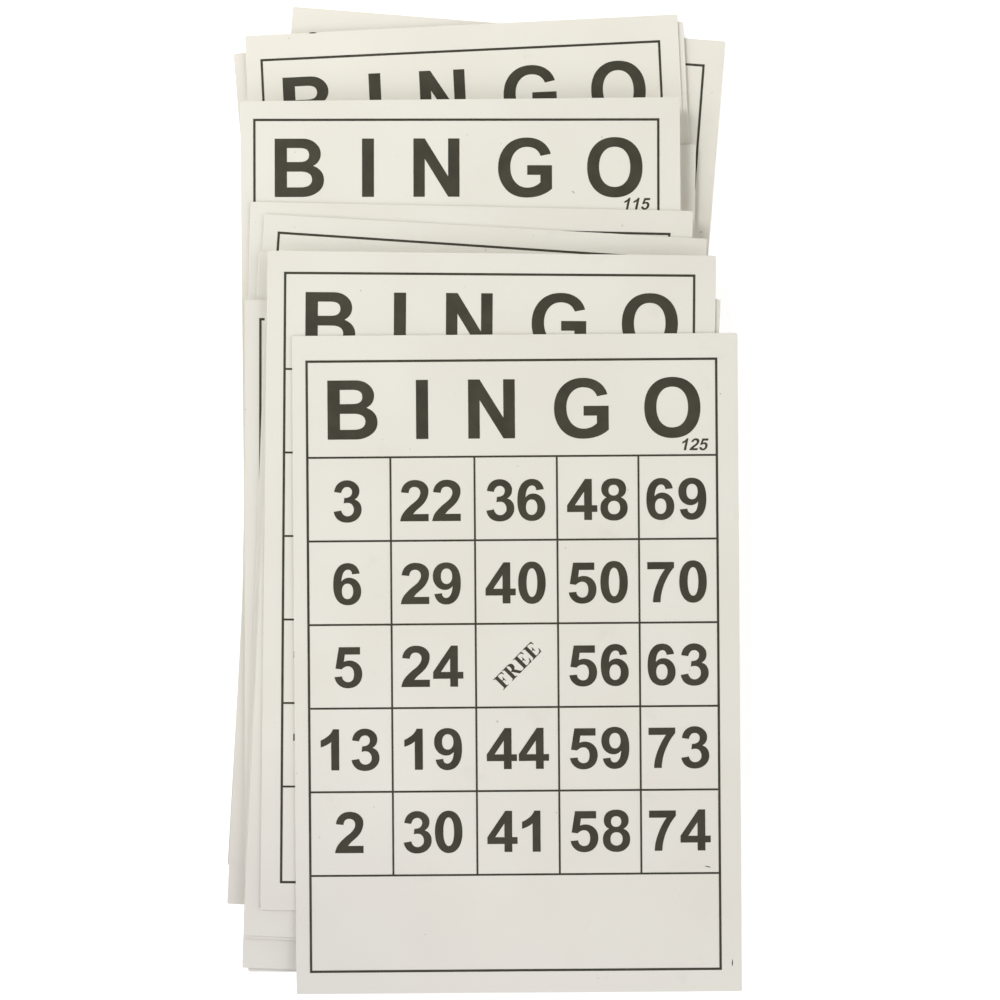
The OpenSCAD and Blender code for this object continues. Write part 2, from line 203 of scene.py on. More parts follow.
def cardStock():
    material, tree, shader, place, seed = newMaterial("cardStock", stock["roughness"], stock["gloss"])
    cloud = stretched(tree, noise(tree, place, seed, stock["cloudSize"]), *stock["cloudRange"])
    front = mixed(tree, cloud, screen(stock["face"]), screen(stock["cloud"]))
    # painted light: cards further down the pile are painted lighter, up to the given first front card
    rearPaintedLight = mixed(tree, cloud, screen(stock["rearFacePaintedLight"]), screen(stock["rearCloudPaintedLight"]))
    firstFrontSeed = seedStep * (stock["firstFront"] - 1)
    rearPaintedLightShare = stretched(tree, seed, 0.0, firstFrontSeed, 1.0, 0.0)
    colour = mixed(tree, rearPaintedLightShare, front, rearPaintedLight)

    # painted shade: the pile's lower left corner is painted greyer, fading out over the given range
    paintedShadeCorner = Vector(cadBox[0]) + Vector(stock["paintedShadeInset"]) * mm
    away = addNode(tree, "ShaderNodeVectorMath", {0: place, 1: paintedShadeCorner}, operation="DISTANCE")
    near, far = [distance * mm for distance in stock["paintedShadeRange"]]
    paintedShade = stretched(tree, away.outputs["Value"], near, far, stock["paintedShadeShare"], 0.0)
    colour = mixed(tree, paintedShade, colour, screen(stock["paintedShade"]))

    smudge = noise(tree, place, seed, stock["smudgeSize"], detail=5.0, roughness=0.6)
    smudge = stretched(tree, smudge, *stock["smudgeRange"], 0, stock["smudgeShare"])
    colour = mixed(tree, smudge, colour, screen(stock["smudge"]))
    fleck = noise(tree, place, seed, stock["fleckSize"], detail=1.0)
    fleck = stretched(tree, fleck, *stock["fleckRange"], 0, stock["fleckShare"])
    colour = mixed(tree, fleck, colour, screen(stock["fleck"]))
    tree.links.new(colour, shader.inputs["Base Color"])

    grain = noise(tree, place, seed, stock["grainSize"], detail=6.0, roughness=0.65)
    rough = stretched(tree, grain, *stock["grainRange"], *stock["roughRange"])
    tree.links.new(rough, shader.inputs["Roughness"])
    addRelief(tree, shader, grain, stock["grainDepth"])
    return material


# The cut rim shows the layers of pulp as fine lines. Its tones are partly the cut edge's own
# grey and partly painted shade, standing in for the dark gaps between the stacked cards.
cutLook = {
    "dark": (155, 149, 135), "light": (175, 169, 155),
    "lineSize": 0.12, "alongShare": 0.1, "lineDepth": 0.024,
    "roughness": 0.95, "gloss": 0.1,
}


def cutRim():
    material, tree, shader, place, seed = newMaterial("cutRim", cutLook["roughness"], cutLook["gloss"])
    along = cutLook["alongShare"]
    layers = addNode(tree, "ShaderNodeMapping", {"Vector": place, "Scale": (along, along, 1.0)})
    lines = noise(tree, layers.outputs[0], seed, cutLook["lineSize"], detail=2.0)
    # partly painted shade: the rim's dark tones stand in for the shaded gaps between the cards
    colour = mixed(tree, lines, screen(cutLook["dark"]), screen(cutLook["light"]))
    tree.links.new(colour, shader.inputs["Base Color"])
    addRelief(tree, shader, lines, cutLook["lineDepth"], strength=0.8)
    return material


# Printing ink: a dark grey-brown that the paper's grain breaks up a little
inkLook = {
    "dark": (62, 59, 48), "light": (71, 68, 56), "patchSize": 5.0, "patchRange": (0.35, 0.65),
    "bare": (112, 108, 94), "bareRange": (0.62, 0.75), "bareShare": 0.3,
    "grainSize": 0.35, "grainRange": (0.3, 0.7), "grainDepth": 0.008,
    "roughness": 0.65, "roughRange": (0.52, 0.7), "gloss": 0.15,
}


def printingInk():
    material, tree, shader, place, seed = newMaterial(
        "printingInk", inkLook["roughness"], inkLook["gloss"])
    patch = stretched(tree, noise(tree, place, seed, inkLook["patchSize"]), *inkLook["patchRange"])
    colour = mixed(tree, patch, screen(inkLook["dark"]), screen(inkLook["light"]))
    grain = noise(tree, place, seed, inkLook["grainSize"], detail=4.0, roughness=0.6)
    bare = stretched(tree, grain, *inkLook["bareRange"], 0, inkLook["bareShare"])
    colour = mixed(tree, bare, colour, screen(inkLook["bare"]))
    tree.links.new(colour, shader.inputs["Base Color"])
    rough = stretched(tree, grain, *inkLook["grainRange"], *inkLook["roughRange"])
    tree.links.new(rough, shader.inputs["Roughness"])
    addRelief(tree, shader, grain, inkLook["grainDepth"], strength=0.8)
    return material


stockMaterial = cardStock()
rimMaterial = cutRim()
inkMaterial = printingInk()
print("materials ready")


# Turn of a node that lies flat, from how its points spread
def readTurn(node):
    flat = {v.co.to_tuple(7)[:2] for v in frame["nodes"][node].data.vertices}
    middle = Vector((sum(p[0] for p in flat), sum(p[1] for p in flat))) / len(flat)
    xx = sum((p[0] - middle.x) ** 2 for p in flat)
    yy = sum((p[1] - middle.y) ** 2 for p in flat)
    xy = sum((p[0] - middle.x) * (p[1] - middle.y) for p in flat)
    turn = 0.5 * math.atan2(2 * xy, xx - yy) - math.pi / 2
    return (turn + math.pi / 2) % math.pi - math.pi / 2


# Lowest and highest corner of a node, seen with the axes turned
def turnedBox(node, turn):
    back = Matrix.Rotation(-turn, 3, "Z")
    own = [back @ v.co for v in frame["nodes"][node].data.vertices]
    return (Vector([min(p[i] for p in own) for i in range(3)]),
            Vector([max(p[i] for p in own) for i in range(3)]))


# Middle, turn, size and height of a card
def readCard(node):
    turn = readTurn(node)
    low, high = turnedBox(node, turn)
    middle = Matrix.Rotation(turn, 2) @ ((low + high) / 2).xy
    return {"middle": middle, "turn": turn, "width": high.x - low.x, "length": high.y - low.y,
            "foot": low.z, "face": high.z}


# The printed frame on a card: its lower left corner, turn and size, and the ink's thickness
def readPrint(node, card):
    back, ahead = Matrix.Rotation(-card["turn"], 2), Matrix.Rotation(card["turn"], 2)
    own = [back @ v.co.xy for v in frame["nodes"][node].data.vertices]
    corner, right, head = [max(own, key=lambda p, way=way: p @ Vector(way))
                           for way in ((-1, -1), (1, -1), (-1, 1))]
    low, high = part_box(node)
    slant = math.atan2(right.y - corner.y, right.x - corner.x)
    return {"corner": ahead @ corner, "turn": card["turn"] + slant, "width": (right - corner).length,
            "length": (head - corner).length, "thickness": high[2] - low[2]}


cards = [readCard(f"card_{i + 1:02d}") for i in range(cardCount)]
prints = [readPrint(f"print_{i + 1:02d}", card) for i, card in enumerate(cards)]
topCard = cards[-1]
print("top card at", [round(v / mm, 2) for v in topCard["middle"]], "mm, turned",
      round(math.degrees(topCard["turn"]), 2))

# How card stock lies and is cut: a slight waviness that the whole pile shares, and a soft rim
lie = {
    "waveHeight": 0.2, "waveLength": 55.0, "cell": 2.5, "cornerRadius": 0.4, "cornerSteps": 5,
    "rim": {"round": 0.06, "steps": 2, "sharpAngle": 50},
}


# Height that the pile's waviness adds at each point, for a Set Position node
def addWave(tree, given, geometry):
    place = addNode(tree, "GeometryNodeInputPosition").outputs[0]
    wave = addNode(tree, "ShaderNodeTexNoise", {
        "Vector": place, "Scale": maths(tree, "DIVIDE", 1.0, given["Wave Length"]),
        "Detail": 1.0}, noise_dimensions="2D").outputs["Fac"]
    lift = maths(tree, "MULTIPLY", wave, given["Wave Height"])
    offset = addNode(tree, "ShaderNodeCombineXYZ", {"Z": lift})
    return addNode(tree, "GeometryNodeSetPosition", {
        "Geometry": geometry, "Offset": offset.outputs[0]}).outputs[0]


# Turns and moves a flat card's geometry to where it lies, bends it and marks it with its seed
def addPlace(tree, given, geometry):
    turn = addNode(tree, "ShaderNodeCombineXYZ", {"Z": given["Turn"]}).outputs[0]
    placed = addNode(tree, "GeometryNodeTransform", {
        "Geometry": geometry, "Translation": given["Place"], "Rotation": turn}).outputs[0]
    bent = addWave(tree, given, placed)
    return addNode(tree, "GeometryNodeStoreNamedAttribute", {
        "Geometry": bent, "Name": "cardSeed", "Value": given["Card Seed"]},
        data_type="FLOAT", domain="POINT").outputs[0]


# A flat mesh given a thickness upwards, closed below
def addThickness(tree, geometry, thickness):
    up = addNode(tree, "ShaderNodeCombineXYZ", {"Z": 1.0}).outputs[0]
    raised = addNode(tree, "GeometryNodeExtrudeMesh", {
        "Mesh": geometry, "Offset": up, "Offset Scale": thickness, "Individual": False}, mode="FACES")
    under = addNode(tree, "GeometryNodeFlipFaces", {"Mesh": geometry}).outputs[0]
    joined = addNode(tree, "GeometryNodeJoinGeometry")
    tree.links.new(raised.outputs["Mesh"], joined.inputs[0])
    tree.links.new(under, joined.inputs[0])
    closed = addNode(tree, "GeometryNodeMergeByDistance", {
        "Geometry": joined.outputs[0], "Distance": 0.002 * mm}).outputs[0]
    return closed, raised.outputs["Side"]


# One coordinate of the sheet's grid, from cell units to metres, closer together at the corners
def addSpread(tree, given, cellPlace, halfCells, halfSize):
    steps = given["Corner Steps"]
    inner = maths(tree, "SUBTRACT", halfSize, given["Corner Radius"])
    innerCells = maths(tree, "SUBTRACT", halfCells, steps)
    count = maths(tree, "ABSOLUTE", cellPlace)
    straight = maths(tree, "MULTIPLY", inner, maths(tree, "DIVIDE", count, innerCells))
    share = maths(tree, "DIVIDE", maths(tree, "SUBTRACT", count, innerCells), steps)
    slope = maths(tree, "TANGENT", maths(tree, "MULTIPLY", share, math.pi / 4))
    outer = maths(tree, "MULTIPLY_ADD", slope, given["Corner Radius"], inner)
    past = maths(tree, "GREATER_THAN", count, innerCells)
    size = addNode(tree, "GeometryNodeSwitch", {
        "Switch": past, "False": straight, "True": outer}, input_type="FLOAT").outputs[0]
    return size, inner, maths(tree, "SIGN", cellPlace)


def makeSheetTree():
    tree, given, made = newTree("cardSheet", {
        "Card Width": "Float", "Card Length": "Float", "Thickness": "Float",
        "Corner Radius": "Float", "Corner Steps": "Float", "Cells Across": "Int",
        "Cells Along": "Int", "Turn": "Float", "Place": "Vector", "Wave Height": "Float",
        "Wave Length": "Float", "Card Seed": "Float", "Face": "Material", "Rim": "Material"})
    grid = addNode(tree, "GeometryNodeMeshGrid", {
        "Size X": given["Cells Across"], "Size Y": given["Cells Along"],
        "Vertices X": maths(tree, "ADD", given["Cells Across"], 1.0),
        "Vertices Y": maths(tree, "ADD", given["Cells Along"], 1.0)}).outputs["Mesh"]
    cell = addNode(tree, "ShaderNodeSeparateXYZ",
                   {0: addNode(tree, "GeometryNodeInputPosition").outputs[0]})
    axes = []
    for axis, cells, size in (("X", "Cells Across", "Card Width"), ("Y", "Cells Along", "Card Length")):
        axes.append(addSpread(tree, given, cell.outputs[axis],
                              maths(tree, "DIVIDE", given[cells], 2.0),
                              maths(tree, "DIVIDE", given[size], 2.0)))
    past = [maths(tree, "MAXIMUM", maths(tree, "SUBTRACT", size, inner), 0.0)
            for size, inner, sign in axes]
    diagonal = maths(tree, "SQRT", maths(tree, "ADD", maths(tree, "MULTIPLY", past[0], past[0]),
                                         maths(tree, "MULTIPLY", past[1], past[1])))
    longer = maths(tree, "MAXIMUM", past[0], past[1])
    # the corner's square becomes a round: nothing changes along the straight sides
    pull = maths(tree, "DIVIDE", maths(tree, "ADD", longer, 1e-9), maths(tree, "ADD", diagonal, 1e-9))
    places = [maths(tree, "MULTIPLY", sign, maths(tree, "MULTIPLY_ADD", beyond, pull,
                                                  maths(tree, "MINIMUM", size, inner)))
              for (size, inner, sign), beyond in zip(axes, past)]
    place = addNode(tree, "ShaderNodeCombineXYZ", {"X": places[0], "Y": places[1]}).outputs[0]
    shaped = addNode(tree, "GeometryNodeSetPosition", {"Geometry": grid, "Position": place}).outputs[0]
    solid, side = addThickness(tree, shaped, given["Thickness"])
    smooth = addNode(tree, "GeometryNodeSetShadeSmooth", {
        "Geometry": addPlace(tree, given, solid), "Selection": True, "Shade Smooth": True})
    real = addNode(tree, "GeometryNodeRealizeInstances", {0: smooth.outputs[0]})
    faced = addNode(tree, "GeometryNodeSetMaterial", {
        "Geometry": real.outputs[0], "Material": given["Face"]})
    rimmed = addNode(tree, "GeometryNodeSetMaterial", {
        "Geometry": faced.outputs[0], "Selection": side, "Material": given["Rim"]})
    tree.links.new(rimmed.outputs[0], made)
    return tree


# Letters as outlines in hundredths of their height. A point with a third value is a curve's
# control point, and curves that follow each other meet halfway.
def loop(x0, x1, y0, y1, k=0.46):
    shape = [(1, k), (k, 1), (-k, 1), (-1, k), (-1, -k), (-k, -1), (k, -1), (1, -k)]
    return [((x0 + x1) / 2 + a * (x1 - x0) / 2, (y0 + y1) / 2 + b * (y1 - y0) / 2, 1) for a, b in shape]


def halfTurn(outline, corner):
    return [(corner[0] - p[0], corner[1] - p[1], *p[2:]) for p in outline]


sixOutline = [
    (67, 75.5), (65, 87.5, 1), (57, 94.5), (49.5, 101, 1), (38.5, 101), (22, 101, 1), (12.5, 88),
    (2.5, 74.5, 1), (2.5, 48.5), (2.5, 22.5, 1), (12.5, 10), (22, -1.5, 1), (38, -1.5), (52, -1.5, 1),
    (61.5, 8), (70.5, 17.5, 1), (70.5, 32), (70.5, 46.5, 1), (62, 56), (53, 65.5, 1), (41, 65.5),
    (30, 65.5, 1), (22.5, 56.5), (23.5, 71.5, 1), (28, 78.5), (32.5, 85, 1), (38.5, 85), (43, 85, 1),
    (45.5, 82), (48.5, 79, 1), (48.5, 73.5)]
sixHole = loop(23.5, 51, 13.5, 51)
nineCorner = (73, 99.5)
glyphs = {
    "0": [loop(3, 70, -1.5, 101.5), loop(23.5, 49.5, 15.5, 85)],
    "1": [[(53, 0), (53, 100), (38, 100), (34, 89, 1), (24, 82), (16, 76, 1), (8, 73), (8, 56),
           (23, 60, 1), (33.5, 69), (33.5, 0)]],
    "2": [[(2, 0), (71.5, 0), (71.5, 17.5), (34, 17.5), (38, 23.5, 1), (47, 31), (56, 38.5, 1),
           (61, 44.5), (71.5, 58, 1), (71.5, 74), (71.5, 84.5, 1), (62.5, 92.5), (53.5, 100.5, 1),
           (37.5, 100.5), (24.5, 100.5, 1), (15.5, 92.5), (6.5, 85, 1), (4.5, 70.5), (23, 68.5),
           (24, 76, 1), (27, 79.5), (30.5, 83.5, 1), (37, 83.5), (43.5, 83.5, 1), (47.5, 79.5),
           (51.5, 76, 1), (51.5, 69), (51.5, 62, 1), (45, 54), (41, 49, 1), (30, 41), (17, 30, 1),
           (9.5, 20), (3.5, 11, 1)]],
    "3": [[(5, 24.5), (7, 12, 1), (15.5, 5), (24, -2, 1), (37.5, -2), (53, -2, 1), (63, 7),
           (73, 16.5, 1), (73, 29.5), (73, 39.5, 1), (68, 46), (63.5, 52, 1), (56, 54), (68, 60.5, 1),
           (68, 75), (68, 85, 1), (60, 92.5), (51, 101, 1), (37.5, 101), (26, 101, 1), (17.5, 94),
           (8.5, 87, 1), (6.5, 72.5), (23.5, 70), (25, 77, 1), (29, 81), (32.5, 84.5, 1), (38, 84.5),
           (43.5, 84.5, 1), (46.5, 81), (50, 78, 1), (50, 72.5), (50, 66, 1), (45.5, 62), (41, 58, 1),
           (31, 58), (29.5, 44.5), (34, 46, 1), (38.5, 46), (46, 46, 1), (50, 41), (54, 36, 1),
           (54, 29), (54, 22, 1), (49.5, 18), (45, 13.5, 1), (38.5, 13.5), (32.5, 13.5, 1),
           (28.5, 17.5), (24.5, 21.5, 1), (23.5, 27.5)]],
    "4": [[(43, 0), (62, 0), (62, 19.5), (75, 19.5), (75, 36), (62, 36), (62, 100), (45.5, 100),
           (1.5, 36), (1.5, 19.5), (43, 19.5)],
          [(43, 36), (43, 69), (20.5, 36)]],
    "5": [[(4, 25.5), (6, 13, 1), (15, 5.5), (23.5, -2, 1), (37, -2), (54.5, -2, 1), (64.5, 10.5),
           (71.5, 20, 1), (71.5, 33), (71.5, 47.5, 1), (62.5, 56.5), (53.5, 65.5, 1), (40.5, 65.5),
           (33.5, 65.5, 1), (27, 62.5), (29.5, 80), (66.5, 80), (66.5, 98), (15, 98), (6.5, 46),
           (21.5, 44), (28.5, 51.5, 1), (37, 51.5), (43.5, 51.5, 1), (47.5, 46.5), (51.5, 41.5, 1),
           (51.5, 32.5), (51.5, 22.5, 1), (47.5, 17.5), (43.5, 13, 1), (37, 13), (31.5, 13, 1),
           (27, 17), (23, 20.5, 1), (22.5, 27)]],
    "6": [sixOutline, sixHole],
    "7": [[(3.5, 80.5), (3.5, 98), (68.5, 98), (68.5, 84.5), (58, 73.5, 1), (48.5, 53.5), (36, 28, 1),
           (35, 0), (16.5, 0), (17, 22, 1), (26.5, 44.5), (34.5, 65, 1), (46, 80.5)]],
    "8": [[(19.5, 54.5), (7, 60.5, 1), (7, 75), (7, 86, 1), (14.5, 93.5), (22.5, 101, 1), (37.5, 101),
           (52, 101, 1), (60, 93.5), (67.5, 86, 1), (67.5, 75), (67.5, 60.5, 1), (55, 54.5),
           (71, 47.5, 1), (71, 29.5), (71, 15.5, 1), (62, 7), (53, -2, 1), (38, -2), (23.5, -2, 1),
           (13.5, 6), (4.5, 14.5, 1), (4.5, 29), (4.5, 47, 1)],
          loop(24.5, 49.5, 59, 85), loop(23, 52.5, 13.5, 46)],
    "9": [halfTurn(sixOutline, nineCorner), halfTurn(sixHole, nineCorner)],
    "B": [[(0, 0), (47, 0), (61.5, 0, 1), (72, 7), (84.5, 15, 1), (84.5, 29), (84.5, 46.5, 1),
           (66, 53.5), (79, 60, 1), (79, 74), (79, 84, 1), (71, 91.5), (62, 100, 1), (48, 100), (0, 100)],
          [(21, 60), (42, 60), (51, 60, 1), (55, 63), (59, 66, 1), (59, 72), (59, 78, 1), (55, 81),
           (51, 84, 1), (42, 84), (21, 84)],
          [(21, 16.5), (44, 16.5), (54, 16.5, 1), (59, 20), (64, 23.5, 1), (64, 30), (64, 36.5, 1),
           (59, 40), (54, 43.5, 1), (44, 43.5), (21, 43.5)]],
    "I": [[(0, 0), (20.5, 0), (20.5, 100), (0, 100)]],
    "N": [[(0, 0), (19.5, 0), (19.5, 65), (59.5, 0), (79, 0), (79, 100), (59.5, 100), (59.5, 35),
           (19.5, 100), (0, 100)]],
    "G": [[(92.5, 54), (50, 54), (50, 37.5), (72.5, 37.5), (72.5, 24.5), (63, 15.5, 1), (50, 15.5),
           (37.5, 15.5, 1), (29, 25.5), (21, 35.5, 1), (21, 51), (21, 66.5, 1), (29, 76),
           (37, 85.5, 1), (49.5, 85.5), (67.5, 85.5, 1), (73, 70), (90.5, 73.5), (87, 86.5, 1),
           (76, 94), (65.5, 101.5, 1), (49.5, 101.5), (26.5, 101.5, 1), (13, 86.5), (0, 72, 1),
           (0, 49.5), (0, 28, 1), (13, 13), (26, -1.5, 1), (49, -1.5), (75.5, -1.5, 1), (92.5, 13.5)]],
    "O": [loop(0, 95, -1.5, 102), loop(20.5, 74, 16.5, 85.5)],
    "footF": [[(3, 0), (56, 0), (56, 4), (45, 6), (42, 10), (42, 48), (50, 48), (57, 44), (60, 33),
               (63, 33), (63, 70), (60, 70), (57, 58), (50, 53), (42, 53), (42, 95), (62, 95),
               (74, 90), (80, 74), (84, 74), (83, 100), (3, 100), (3, 96), (14, 94), (17, 90),
               (17, 10), (14, 6), (3, 4)]],
    "footR": [[(3, 0), (55, 0), (55, 4), (45, 6), (42, 10), (42, 47), (47, 47), (78, 0), (106, 0),
               (106, 4), (98, 7), (93, 12), (70, 48), (88, 54, 1), (88, 74), (88, 100, 1), (52, 100),
               (3, 100), (3, 96), (14, 94), (17, 90), (17, 10), (14, 6), (3, 4)],
              [(42, 53), (46, 53), (61, 54, 1), (61, 75), (61, 95, 1), (48, 95), (42, 95)]],
    "footE": [[(3, 0), (88, 0), (93, 30), (89, 30), (79, 12), (62, 5), (46, 5), (42, 9), (42, 48),
               (50, 48), (57, 44), (60, 33), (63, 33), (63, 70), (60, 70), (57, 58), (50, 53),
               (42, 53), (42, 95), (62, 95), (76, 90), (83, 74), (87, 74), (85, 100), (3, 100),
               (3, 96), (14, 94), (17, 90), (17, 10), (14, 6), (3, 4)]],
    # a short dash: specks, and on card 4 a painted shadow of a nick at the head edge
    "speckAndShadowDash": [[(-50, 0), (-10, 16, 1), (50, -3), (10, -14, 1)]],
}
widths = {"B": 84.5, "I": 20.5, "N": 79, "G": 92.5, "O": 95, "footF": 86, "footR": 106, "footE": 95.5}
percent = 0.01
digitPitch = 0.78  # width that each digit takes up, as a share of its height
curveSteps = 6


def drawCurves(outline):
    drawn = []
    for i, point in enumerate(outline):
        before, after = outline[i - 1], outline[(i + 1) % len(outline)]
        here = Vector(point[:2])
        if len(point) == 2:
            drawn.append(here)
            continue
        start = Vector(before[:2]) if len(before) == 2 else (Vector(before[:2]) + here) / 2
        end = Vector(after[:2]) if len(after) == 2 else (Vector(after[:2]) + here) / 2
        last = curveSteps if len(after) == 2 else curveSteps + 1
        for k in range(1, last):
            t = k / curveSteps
            drawn.append(start * (1 - t) ** 2 + here * 2 * t * (1 - t) + end * t * t)
    return drawn


# A letter as a flat mesh one unit high, cut into cells so that it can bend with its card
def makeGlyph(name, outlines, cell=0.22):
    loops = [[(p * percent).to_3d() for p in drawCurves(outline)] for outline in outlines]
    points = [p for part in loops for p in part]
    mesh = bmesh.new()
    corners = [mesh.verts.new(p) for p in points]
    for triangle in tessellate_polygon(loops):
        mesh.faces.new([corners[i] for i in triangle])
    bmesh.ops.recalc_face_normals(mesh, faces=mesh.faces)
    if mesh.faces[:][0].normal.z < 0:
        bmesh.ops.reverse_faces(mesh, faces=mesh.faces)
    for axis in (0, 1):
        low, high = min(p[axis] for p in points), max(p[axis] for p in points)
        for k in range(1, math.ceil((high - low) / cell)):
            at, along = [0, 0, 0], [0, 0, 0]
            at[axis], along[axis] = low + k * cell, 1
            bmesh.ops.bisect_plane(mesh, geom=mesh.verts[:] + mesh.edges[:] + mesh.faces[:],
                                   plane_co=at, plane_no=along, dist=1e-5)
    flat = bpy.data.meshes.new(name)
    mesh.to_mesh(flat)
    mesh.free()
    return bpy.data.objects.new(name, flat)


glyphCollection = bpy.data.collections.new("glyphs")
glyphNumber = {}
for number, (name, outlines) in enumerate(glyphs.items()):
    glyphNumber[name] = number
    glyphCollection.objects.link(makeGlyph(f"glyph_{number:02d}", outlines))
print(len(glyphNumber), "letters and digits drawn")

# The print's layout in millimetres; its frame's outer size comes from the frame's own solid
layout = {
    "headHeight": 22.15, "footHeight": 22.05, "frameLine": 0.55, "gridLine": 0.45,
    "columnShares": [0.2045, 0.204, 0.2, 0.198, 0.1935],
    "letterShares": [0.1135, 0.2825, 0.451, 0.669, 0.89], "letterHeight": 13.45, "headingDrop": 0.25,
    "numberShares": [0.1, 0.303, 0.5095, 0.709, 0.9005], "numberHeight": 9.35, "numberDrop": 0.05,
    "rowClose": 0.18, "freeHeight": 3.3, "freeTurn": 45,
    "tallyHeight": 2.7, "tallyInset": 1.8, "tallyGap": 0.3, "tallyLean": 0.22, "firstTally": 101,
    # the top card's numbers, column by column
    "topNumbers": [[3, 6, 5, 13, 2], [22, 29, 24, 19, 30], [36, 40, 0, 44, 41],
                   [48, 50, 56, 59, 58], [69, 70, 63, 73, 74]],
    # specks on three cards: each one's place from the frame's corner, its length and its turn; the
    # one on card 4 is a painted shadow of a nick at the card's head edge, the others are specks
    "specksAndNickShadow": {4: [(12.5, 144.9, 2.0, 3)], 15: [(73.8, 122.3, 0.9, -40)],
               25: [(90.7, 23.5, 1.5, -10), (96.1, 1.6, 1.6, 90)]},
}
frameWidth, frameLength = prints[-1]["width"] / mm, prints[-1]["length"] / mm
columnCount, rowCount = len(layout["topNumbers"]), len(layout["topNumbers"][0])
middleColumn, middleRow = columnCount // 2, rowCount // 2
boxHeight = (frameLength - layout["headHeight"] - layout["footHeight"]) / rowCount
columnEdges = [frameWidth * sum(layout["columnShares"][:i]) for i in range(columnCount + 1)]

# How the covered cards get their numbers: each column has a run of its own, and a step that
# shares no factor with the run's length never meets a number twice
numberRule = {"runLength": 15, "first": 7, "perCard": 7, "perColumn": 4,
              "steps": [8, 7, 4, 11, 13, 2]}


# The number in a box of a covered card: no two in a column are alike
def ruleNumber(card, column, row):
    run, steps = numberRule["runLength"], numberRule["steps"]
    step = steps[(card + column) % len(steps)]
    start = numberRule["first"] + card * numberRule["perCard"] + column * numberRule["perColumn"]
    return run * column + 1 + (start + step * row) % run


# Every letter on one card: its glyph, corner and height in millimetres, turn and lean
def listLetters(card):
    letters = []

    def addLetter(name, x, y, height, spin=0.0, lean=0.0):
        letters.append((glyphNumber[name], x, y, height, spin, lean))

    def addNumber(value, x, y, height, lean=0.0):
        pitch = digitPitch * height
        for i, digit in enumerate(str(value)):
            addLetter(digit, x + (i - len(str(value)) / 2) * pitch, y, height, 0.0, lean)

    height = layout["letterHeight"]
    base = frameLength - layout["headHeight"] / 2 - layout["headingDrop"] - height / 2
    for name, share in zip("BINGO", layout["letterShares"]):
        addLetter(name, frameWidth * share - widths[name] * percent * height / 2, base, height)
    small = layout["tallyHeight"]
    tally = layout["firstTally"] + card
    across = frameWidth - layout["tallyInset"] - layout["tallyLean"] * small
    addNumber(tally, across - len(str(tally)) * digitPitch * small / 2,
              base - layout["tallyGap"] - small, small, layout["tallyLean"])
    # the dash on card 4 is a painted shadow of a nick at its head edge
    for x, y, length, turn in layout["specksAndNickShadow"].get(card + 1, []):
        addLetter("speckAndShadowDash", x, y, length, math.radians(turn))
    middleLine = layout["footHeight"] + rowCount * boxHeight / 2
    for column, share in enumerate(layout["numberShares"]):
        for row in range(rowCount):
            x = frameWidth * share
            y = middleLine + (middleRow - row) * (boxHeight - layout["rowClose"])
            if column == middleColumn and row == middleRow:
                addFree(addLetter, x, y)
                continue
            value = ruleNumber(card, column, row)
            if card == cardCount - 1:
                value = layout["topNumbers"][column][row]
            addNumber(value, x, y - layout["numberDrop"] - layout["numberHeight"] / 2,
                      layout["numberHeight"])
    return letters


# The word in the middle box
def addFree(addLetter, x, y):
    word = ["footF", "footR", "footE", "footE"]
    height, spin = layout["freeHeight"], math.radians(layout["freeTurn"])
    turn = Matrix.Rotation(spin, 2)
    across = -sum(widths[name] for name in word) * percent * height / 2
    for name in word:
        corner = turn @ Vector((across, -height / 2))
        addLetter(name, x + corner.x, y + corner.y, height, spin)
        across += widths[name] * percent * height


# Points that carry one card's letters, in metres on the flat card
def makeLetterPoints(card):
    letters = listLetters(card)
    mesh = bpy.data.meshes.new("letterPoints")
    mesh.from_pydata([(x * mm, y * mm, 0) for _, x, y, _, _, _ in letters], [], [])
    columns = zip(*[(glyph, height * mm, spin, lean, y * mm)
                    for glyph, x, y, height, spin, lean in letters])
    kinds = (("glyph", "INT"), ("height", "FLOAT"), ("spin", "FLOAT"), ("lean", "FLOAT"),
             ("footLine", "FLOAT"))
    for (name, kind), values in zip(kinds, columns):
        mesh.attributes.new(name, kind, "POINT").data.foreach_set("value", values)
    return mesh


# The frame and the lines between the boxes, as one flat mesh of small cells
def makeRuledLines():
    frameLine, gridLine = layout["frameLine"], layout["gridLine"]
    middles = columnEdges[1:-1]
    rows = [layout["footHeight"] + i * boxHeight for i in range(rowCount + 1)]

    def stations(size, lines):
        fixed = sorted([0, frameLine, size - frameLine, size]
                       + [line + side * gridLine / 2 for line in lines for side in (-1, 1)])
        found = []
        for a, b in zip(fixed, fixed[1:]):
            pieces = max(1, math.ceil((b - a) / lie["cell"]))
            found += [a + (b - a) * k / pieces for k in range(pieces)]
        return found + [size]

    def onLine(value, lines):
        return any(abs(value - line) < gridLine / 2 for line in lines)

    across, along = stations(frameWidth, middles), stations(frameLength, rows)
    faces, used = [], {}
    for i, (x0, x1) in enumerate(zip(across, across[1:])):
        for j, (y0, y1) in enumerate(zip(along, along[1:])):
            x, y = (x0 + x1) / 2, (y0 + y1) / 2
            rim = min(x, y, frameWidth - x, frameLength - y) < frameLine
            inBoxes = rows[0] < y < rows[-1]
            if rim or onLine(y, rows) or (inBoxes and onLine(x, middles)):
                faces.append([used.setdefault(key, len(used)) for key in
                              ((i, j), (i + 1, j), (i + 1, j + 1), (i, j + 1))])
    points = [(across[i] * mm, along[j] * mm, 0) for i, j in used]
    mesh = bpy.data.meshes.new("ruledLines")
    mesh.from_pydata(points, [], faces)
    return bpy.data.objects.new("ruledLines", mesh)


